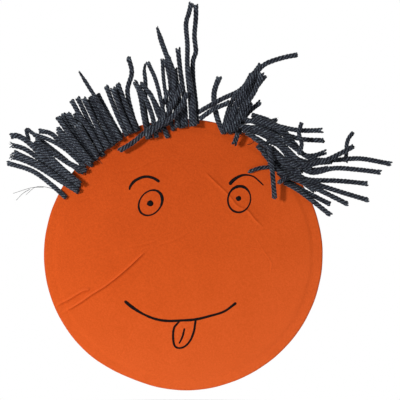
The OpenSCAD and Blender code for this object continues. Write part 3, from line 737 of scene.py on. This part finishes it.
DOT_SIDES = 28
PEN_SOAK = 1.1      # ink spreads this much wider than the pen in soft paper
PEN_STEP = 0.5      # distance between rows of points along a line
PEN_CURVE = 10      # points that round off each span of a stroke
UNEVEN_LINE = 0.12  # how much a line's width and a dot's edge vary
UNEVEN_DOT = 0.16
CROWN = 0.02        # a line's middle stands this much higher than its edges
RING_STEPS = 26
RING_TURNS = 1.02   # the pen runs on a little past where a ring began


def lay_ink(shape, name, node):
    """Makes the ink drawing in a shape a piece on the face."""
    bmesh.ops.recalc_face_normals(shape, faces=shape.faces)
    bmesh.ops.reverse_faces(shape, faces=[f for f in shape.faces if f.normal.y > 0])
    drawn = finished(shape, name, ink, INK)
    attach(drawn, "head")
    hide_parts(node)


def pen_line(name, node, strokes):
    """Draws strokes on the paper. A stroke is its points with a line width at each."""
    shape = bmesh.new()
    for stroke in strokes:
        line = even(smooth([Vector(p) for p in stroke], PEN_CURVE), PEN_STEP)
        across = []
        for i, point in enumerate(line):
            along = (line[min(i + 1, len(line) - 1)] - line[max(i - 1, 0)]).xy.normalized()
            from_end = min(i, len(line) - 1 - i) * PEN_STEP + 0.08
            half = point.z * PEN_SOAK / 2
            if from_end < half:
                half = math.sqrt(max(0, half ** 2 - (half - from_end) ** 2))
            half *= 1 + UNEVEN_LINE * noise.noise(Vector((point.x, point.y, 3)) * 0.8)
            across.append((point.xy, Vector((-along.y, along.x)) * half, i))
        start = bmesh.ops.create_grid(shape, x_segments=2, y_segments=1, size=1)["verts"]
        row = sorted(start, key=lambda v: (round(v.co.y, 3), v.co.x))[:3]
        bmesh.ops.delete(shape, geom=[v for v in start if v not in row], context="VERTS")
        edges = list(dict.fromkeys(e for v in row for e in v.link_edges))
        for middle, half, i in across:
            if i:
                grown = bmesh.ops.extrude_edge_only(shape, edges=edges)["geom"]
                edges = [e for e in grown if isinstance(e, bmesh.types.BMEdge)]
                fresh = {v for v in grown if isinstance(v, bmesh.types.BMVert)}
                row = [next(e.other_vert(v) for e in v.link_edges if e.other_vert(v) in fresh)
                       for v in row]
            for vert, share in zip(row, (-1, 0, 1)):
                spot = middle + half * share
                vert.co = face_place(spot.x, spot.y, INK + 0.0002 * i + CROWN * (share == 0))
    lay_ink(shape, name, node)


def pen_dot(name, node, x, z, radius):
    """Draws a dot, not quite round, on the paper."""
    shape = bmesh.new()
    bmesh.ops.create_circle(shape, cap_ends=True, segments=DOT_SIDES, radius=1)
    bmesh.ops.poke(shape, faces=shape.faces)
    for vert in shape.verts:
        uneven = 1 + UNEVEN_DOT * noise.noise(vert.co * 1.5 + Vector((x, z, 0)))
        across, up = vert.co.x * radius * uneven, vert.co.y * radius * uneven
        vert.co = face_place(x + across, z + up, INK + CROWN)
    lay_ink(shape, name, node)


def ring_stroke(centre, long, short, lean, widths, start):
    """A pen ring with its half-axes, its lean and where it starts; widths are at even steps."""
    turned = math.radians(lean)
    points = []
    for k in range(RING_STEPS + 1):
        angle = math.radians(start) + math.tau * RING_TURNS * k / RING_STEPS
        u, v = long * math.cos(angle), short * math.sin(angle)
        place = k / RING_STEPS * (len(widths) - 1)
        low = min(int(place), len(widths) - 2)
        width = widths[low] + (widths[low + 1] - widths[low]) * (place - low)
        points.append((centre[0] + u * math.sin(turned) + v * math.cos(turned),
                       centre[1] + u * math.cos(turned) - v * math.sin(turned), width))
    return points


pen_line("eyebrow_left_line", "eyebrow_left", [
    [(-38.5, 46.5, 0.9), (-38, 49, 1.5), (-35, 52.8, 1.8), (-30, 55.4, 1.8), (-25.5, 56, 1.7),
     (-21, 54.8, 1.8), (-17, 52.3, 1.9)]])
pen_line("eyebrow_right_line", "eyebrow_right", [
    [(33, 50.3, 2.4), (36, 53.6, 2.2), (40.5, 56.4, 1.7), (45, 57.3, 1.2), (50, 56.2, 1.0),
     (53.5, 53.6, 1.0), (57.5, 49.8, 0.8)]])
pen_line("eye_ring_left_line", "eye_ring_left", [
    ring_stroke((-23.5, 37.3), 9.8, 7.6, 37, (1.7, 2.2, 1.1, 0.9, 1.2, 1.4, 1.1, 0.9, 1.2, 1.7), 0)])
pen_line("eye_ring_right_line", "eye_ring_right", [
    ring_stroke((40.1, 39.8), 9.4, 8.1, 12, (1.9, 1.9, 0.9, 0.9, 1.1, 1.4, 1.1, 1.2, 1.8), -35)])
pen_dot("pupil_left_dot", "pupil_left", -23.7, 36.9, 2.3)
pen_dot("pupil_right_dot", "pupil_right", 39.6, 40.4, 1.9)
pen_line("smile_line", "smile", [
    [(-42, -33, 1.9), (-37, -37.2, 2.2), (-29.5, -42, 1.6), (-20.5, -45.8, 1.6), (-11.5, -47.3, 1.7),
     (-1.3, -47, 1.6), (9, -46.2, 1.7), (20.5, -43.4, 1.5), (29.5, -40.4, 1.4), (38, -34.3, 1.7)]])
pen_line("tongue_outline_line", "tongue_outline", [
    [(-1.8, -46.6, 1.2), (-4.4, -49.4, 1.3), (-6.6, -52.4, 1.4), (-7.3, -58.6, 1.5),
     (-6.3, -64.8, 1.4), (-3.2, -66.8, 1.2), (1.3, -65.5, 1.2), (5.2, -61, 1.4), (7.6, -54.8, 1.5),
     (8.4, -50, 1.4), (8.9, -46.6, 1.2)]])
pen_line("tongue_middle_line", "tongue_line", [
    [(0.9, -52.6, 1.1), (-0.6, -58.6, 1.3), (-3, -63.6, 0.9)]])


# ---------------------------------------------------------------- glue under the hair
# White craft glue, dabbed under the bottom layer of strands. It dries clear and shiny, so
# the paper shows through it, darker.
dried_glue, _ = new_material("dried_craft_glue", Base_Color=colour("#9C3A12"), Roughness=0.28,
                             Specular_IOR_Level=0.45)
DAB = (1.9, 1.3, 0.3)   # half-sizes along the strand, across it and out of the paper
DAB_AHEAD = 1           # how far from the strand's end the middle of its dab is
LOW_STRAND = 3          # roots that stand further off the paper lie on other strands
for side, glue_node in ((-1, "hair_glue_left"), (1, "hair_glue_right")):
    dabs = bmesh.new()
    for place, along in roots:
        x, z = place.x, place.z - face_middle.z / MM
        on_paper = math.hypot(x, z) < edge_reach(math.atan2(z, x)) - DAB[0]
        if x * side < 0 or face_front / MM - place.y > LOW_STRAND or not on_paper:
            continue
        made = bmesh.ops.create_icosphere(dabs, subdivisions=2, radius=1)["verts"]
        ahead = Vector((along.x, along.z)).normalized()
        for vert in made:
            u, v, w = vert.co.x * DAB[0], vert.co.y * DAB[1], vert.co.z * DAB[2]
            u += DAB_AHEAD
            vert.co = face_place(x + ahead.x * u - ahead.y * v, z + ahead.y * u + ahead.x * v, w)
    bmesh.ops.recalc_face_normals(dabs, faces=dabs.faces)
    blobs = finished(dabs, glue_node + "_dabs", dried_glue)
    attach(blobs, "head")
    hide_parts(glue_node)


# ---------------------------------------------------------------- backing card
# Grey bookbinder's board cut a little smaller than the paper, glued behind it so that the
# face stays flat. It is pressed from waste paper, so it is flecked, and its cut edge is rough.
board, board_shader = new_material("grey_board", Roughness=0.9, Specular_IOR_Level=0.2)
board_place = add_node(board, "ShaderNodeTexCoord").outputs["Object"]
board_pulp = add_node(board, "ShaderNodeTexNoise",
                      {"Vector": board_place, "Scale": 260, "Detail": 6, "Roughness": 0.7})
board_fleck = add_node(board, "ShaderNodeTexVoronoi", {"Vector": board_place, "Scale": 240})
board_clouds = ramp(board, board_pulp.outputs["Fac"], (0.3, "#8F8879"), (0.55, "#A69E8E"), (0.75, "#B8B1A2"))
fleck_mask = ramp(board, board_fleck.outputs["Distance"], (0.05, "#5E584D"), (0.16, "#FFFFFF"))
board_mix = add_node(board, "ShaderNodeMix", {0: 0.55, 6: board_clouds, 7: fleck_mask},
                     data_type="RGBA", blend_type="MULTIPLY")
board_bump = add_node(board, "ShaderNodeBump",
                      {"Height": board_pulp.outputs["Fac"], "Strength": 0.5, "Distance": 0.0003})
board.node_tree.links.new(board_mix.outputs[2], board_shader.inputs["Base Color"])
board.node_tree.links.new(board_bump.outputs["Normal"], board_shader.inputs["Normal"])


def refinish(node, material):
    """Gives a CAD node its material."""
    for place in frame["nodes"][node].material_slots:
        place.material = material


refinish("backing_card", board)
refinish("card_glue", dried_glue)


# ---------------------------------------------------------------- paper bag
# A small flat-bottomed bag of brown machine-glazed kraft paper, worn like a glove. Its sides
# are gusseted, its open edge is pinked by the cutter with a thumb notch, and its front stops
# at the mouth. The folded bottom carries the card; it is creased from being used.
kraft, kraft_shader = new_material("brown_kraft_paper", Roughness=0.62, Specular_IOR_Level=0.35)
kraft_place = add_node(kraft, "ShaderNodeTexCoord").outputs["Object"]
# fibres run up the bag, the way that the paper came off the machine, 1.5 mm apart
kraft_stretch = add_node(kraft, "ShaderNodeMapping", {"Vector": kraft_place, "Scale": (1, 1, 0.07)})
kraft_fibres = add_node(kraft, "ShaderNodeTexNoise",
                        {"Vector": kraft_stretch.outputs["Vector"], "Scale": 650, "Detail": 4,
                         "Roughness": 0.6})
kraft_clouds = add_node(kraft, "ShaderNodeTexNoise",
                        {"Vector": kraft_place, "Scale": 45, "Detail": 4, "Roughness": 0.6})
kraft_blend = add_node(kraft, "ShaderNodeMix",
                       {0: 0.4, 2: kraft_fibres.outputs["Fac"], 3: kraft_clouds.outputs["Fac"]},
                       data_type="FLOAT")
kraft_colour = ramp(kraft, kraft_blend.outputs[0], (0.32, "#9A6E43"), (0.5, "#B5875A"), (0.68, "#C69C6E"))
kraft_bump = add_node(kraft, "ShaderNodeBump",
                      {"Height": kraft_fibres.outputs["Fac"], "Strength": 0.3, "Distance": 0.0001})
kraft.node_tree.links.new(kraft_colour, kraft_shader.inputs["Base Color"])
kraft.node_tree.links.new(kraft_bump.outputs["Normal"], kraft_shader.inputs["Normal"])

BAG_W = 89
BAG_H = 165
BASE_D = 60
MOUTH_D = 38
KRAFT = 0.28
NOTCH = 9
NOTCH_FADE = 30    # the rows above the notch are level again at this height
LIP_Z = BAG_H - BASE_D
TOOTH = 3.4        # width of a tooth of the pinked edge
TOOTH_H = 1.3
HEM = 2.2          # height of the first row above the teeth
STEP_ACROSS = 1.1
LEVEL_STEP = 2.4
FRONT_BACK = 0.35  # the front stands this far back, clear of the leaves that swing past it
DENT, DENT_SIZE = 0.5, 22          # depth and size of the soft dents
CRUMPLE, CRUMPLE_SIZE = 0.22, 15   # and of the sharper creases from use
FRONT_SHARE, FRONT_MOST = 0.25, 0.1    # the front has less of both, and nothing past this
LIP_TOP = LIP_Z + 0.2    # the wall ends this close under the leaf that opens with the mouth
WEB_TOP = 150
TOP_GAP = 0.3
front_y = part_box("bag_front_panel")[0].y / MM


def bag_section(z):
    """The bag's six folds at a height, in order round it from the front's left edge."""
    depth = MOUTH_D * (1 - z / BAG_H)
    inner = BAG_W / 2 - math.sqrt((BASE_D / 2) ** 2 - (depth / 2) ** 2)
    back = front_y + depth
    middle = front_y + depth / 2
    return [Vector((-BAG_W / 2, front_y + FRONT_BACK)), Vector((BAG_W / 2, front_y + FRONT_BACK)),
            Vector((inner, middle)), Vector((BAG_W / 2, back)), Vector((-BAG_W / 2, back)),
            Vector((-inner, middle))]


half_gusset = round(BASE_D / 2 / STEP_ACROSS)
across = round(BAG_W / STEP_ACROSS)
counts = [across, half_gusset, half_gusset, across, half_gusset, half_gusset]
around = [(side, k / count) for side, count in enumerate(counts) for k in range(count)]


def bag_place(side, share, z):
    """A point of the bag's wall, with the paper's soft dents and the creases it has been given."""
    if side == 3:
        off_middle = abs(share - 0.5) * BAG_W
        notch = math.sqrt(NOTCH ** 2 - off_middle ** 2) if off_middle < NOTCH else 0
        z += notch * max(0, 1 - z / NOTCH_FADE)
    folds = bag_section(min(z, BAG_H))
    a, b = folds[side], folds[(side + 1) % 6]
    spot = a.lerp(b, share)
    out = Vector((b.y - a.y, a.x - b.x)).normalized()
    free = math.sin(math.pi * share) ** 0.7
    dent = DENT * noise.noise(Vector((spot.x, spot.y * 2, z)) / DENT_SIZE)
    dent += CRUMPLE * (1 - 3 * abs(noise.noise(Vector((spot.x, z, side * 7)) / CRUMPLE_SIZE)))
    dent *= free
    if side == 0:
        dent = min(dent * FRONT_SHARE, FRONT_MOST)
    spot = spot + out * dent
    return Vector((spot.x * MM, spot.y * MM, z * MM))


bag_shape = bmesh.new()
made = bmesh.ops.create_circle(bag_shape, cap_ends=False, segments=len(around), radius=1)["verts"]
ring = sorted(made, key=lambda v: math.atan2(v.co.y, v.co.x) % math.tau)
# the wall goes all the way round up to the lip; above it there are the back and the rear
# leaves of the gussets, and at the top only the back
whole = range(len(around))
rear = [k for k, (side, share) in enumerate(around) if 2 <= side <= 4 or (side, share) == (5, 0)]
back = [k for k, (side, share) in enumerate(around) if side == 3 or (side, share) == (4, 0)]
levels = [(0, whole), (HEM, whole)]
for top, kept in ((LIP_TOP, whole), (WEB_TOP, rear), (BAG_H - TOP_GAP, back)):
    foot = levels[-1][0]
    count = round((top - foot) / LEVEL_STEP)
    levels += [(foot + (top - foot) * (k + 1) / count, kept) for k in range(count)]
previous = dict(enumerate(ring))
for level, (z, kept) in enumerate(levels):
    if level:
        below = {previous[k] for k in kept}
        touching = dict.fromkeys(e for k in kept for e in previous[k].link_edges)
        edges = [e for e in touching if all(v in below for v in e.verts)]
        grown = bmesh.ops.extrude_edge_only(bag_shape, edges=edges)["geom"]
        fresh = {v for v in grown if isinstance(v, bmesh.types.BMVert)}
        previous = {k: next(e.other_vert(previous[k]) for e in previous[k].link_edges
                            if e.other_vert(previous[k]) in fresh) for k in kept}
    for k, vert in previous.items():
        side, share = around[k]
        tooth = 0
        if not level:
            tooth = TOOTH_H * abs((k * STEP_ACROSS / TOOTH) % 1 * 2 - 1)
        vert.co = bag_place(side, share, z + tooth)
bmesh.ops.recalc_face_normals(bag_shape, faces=bag_shape.faces)
# the faces look into the bag, because the paper's thickness is added behind them
rearmost = max(bag_shape.faces, key=lambda f: f.calc_center_median().y)
if rearmost.normal.y > 0:
    bmesh.ops.reverse_faces(bag_shape, faces=bag_shape.faces)
bag = finished(bag_shape, "kraft_bag_shell", kraft, KRAFT)
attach(bag, "bag")
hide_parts("bag_front_panel", "bag_back_panel", "bag_gusset_left", "bag_gusset_right")

for node in ("back_seam_lap", "mouth_palate", "mouth_throat", "bag_base", "base_tuck_left",
             "base_tuck_right", "base_cover_flap"):
    refinish(node, kraft)


# ---------------------------------------------------------------- floor and light
# A pale floor well below the puppet, which a hand holds up, and soft light from the left.
FLOOR_Z = -0.16
FLOOR_RADIUS = 0.85
floor_shape = bmesh.new()
bmesh.ops.create_circle(floor_shape, cap_ends=True, segments=96, radius=FLOOR_RADIUS)
bmesh.ops.translate(floor_shape, vec=(0, 0, FLOOR_Z), verts=floor_shape.verts)
pale, pale_shader = new_material("pale_floor", Roughness=0.9)
pale_place = add_node(pale, "ShaderNodeTexCoord").outputs["Object"]
pale_grain = add_node(pale, "ShaderNodeTexNoise", {"Vector": pale_place, "Scale": 8, "Detail": 3})
pale_colour = ramp(pale, pale_grain.outputs["Fac"], (0.3, "#F2F2F1"), (0.7, "#F6F6F5"))
pale.node_tree.links.new(pale_colour, pale_shader.inputs["Base Color"])
floor = finished(floor_shape, "floor", pale)

world = bpy.data.worlds.new("studio")
world.use_nodes = True
bpy.context.scene.world = world
backdrop = world.node_tree.nodes["Background"]
backdrop.inputs["Color"].default_value = (1, 1, 1, 1)
# the backdrop is white itself, but sends less light than that onto the puppet
ROOM_LIGHT = 0.28
seen = add_node(world, "ShaderNodeLightPath").outputs["Is Camera Ray"]
brightness = add_node(world, "ShaderNodeMapRange", {"Value": seen, "To Min": ROOM_LIGHT, "To Max": 1})
world.node_tree.links.new(brightness.outputs["Result"], backdrop.inputs["Strength"])
bpy.context.scene.view_settings.view_transform = "Standard"


def area_light(name, place, aim, size, watts):
    """A round lamp that points from its place to another."""
    light = bpy.data.lights.new(name, "AREA")
    light.shape = "DISK"
    light.size = size
    light.energy = watts
    holder = bpy.data.objects.new(name, light)
    holder.location = place
    holder.rotation_euler = (Vector(aim) - Vector(place)).to_track_quat("-Z", "Y").to_euler()
    bpy.context.scene.collection.objects.link(holder)


area_light("window_left", face_middle + Vector((-0.36, -0.58, 0.14)), face_middle, 0.09, 3.3)
area_light("lamp_above", face_middle + Vector((0, 0.35, 1.4)), face_middle + Vector((0, 0.35, 0)), 0.5, 4)
area_light("room_behind", face_middle + Vector((0.6, 0.9, 0.5)), face_middle, 0.5, 8)
